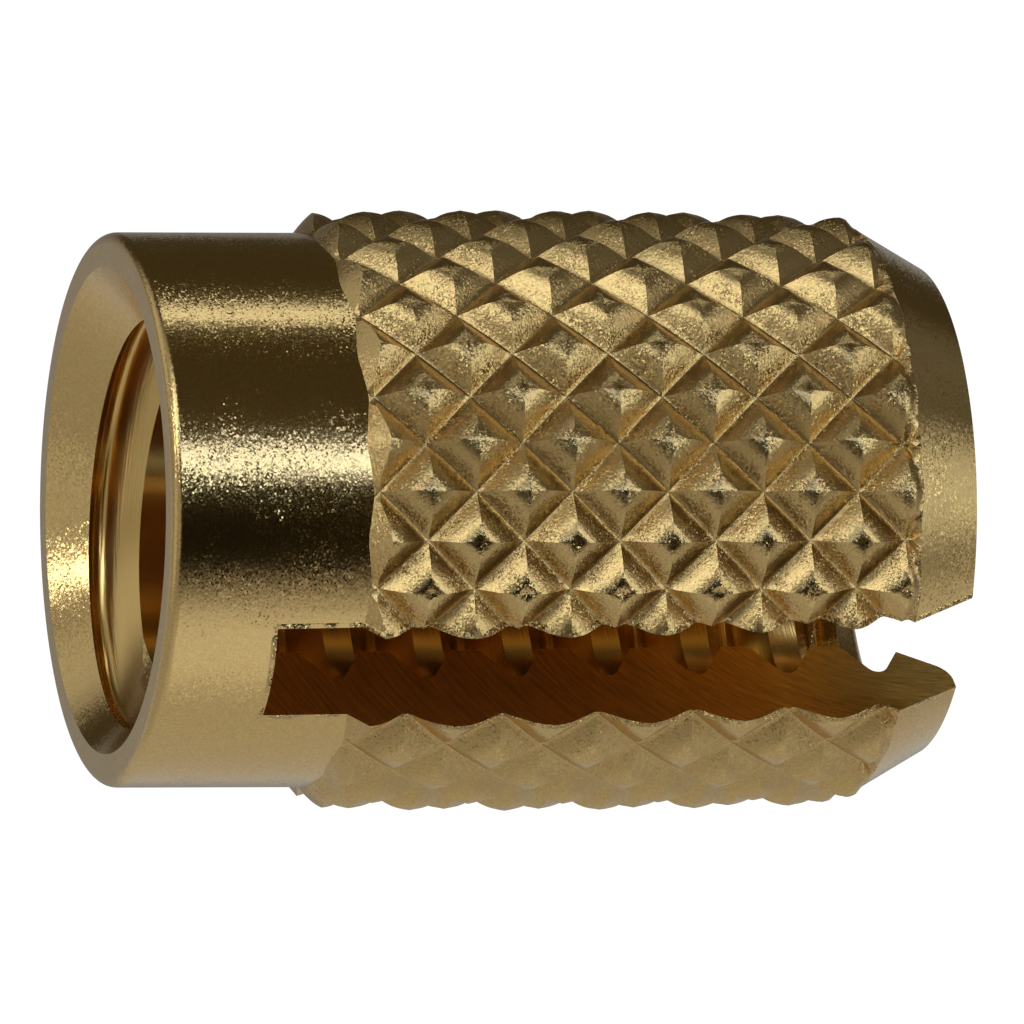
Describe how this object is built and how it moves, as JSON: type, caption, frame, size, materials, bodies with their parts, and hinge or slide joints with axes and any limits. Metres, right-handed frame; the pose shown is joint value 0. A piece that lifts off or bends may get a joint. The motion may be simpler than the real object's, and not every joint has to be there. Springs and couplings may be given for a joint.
{
  "type": "threaded insert",
  "caption": "Slotted, diamond-knurled brass press-in expansion insert with a plain collar, a countersunk mouth, a conical nose and a tapped bore.",
  "frame": {"origin": "on the bore's axis, at the nose's flat end, which it stands on", "axes": "+Z along the bore, out of the mouth; the sawn slot opens towards -Y, and less far up towards +Y"},
  "size_m": [0.0068, 0.0066, 0.0095],
  "materials": {
    "brass": "bright as-turned free-machining brass, satin on the knurl and sawn in the slot"
  },
  "bodies": {
    "root": {"insert": "brass"}
  },
  "joints": []
}
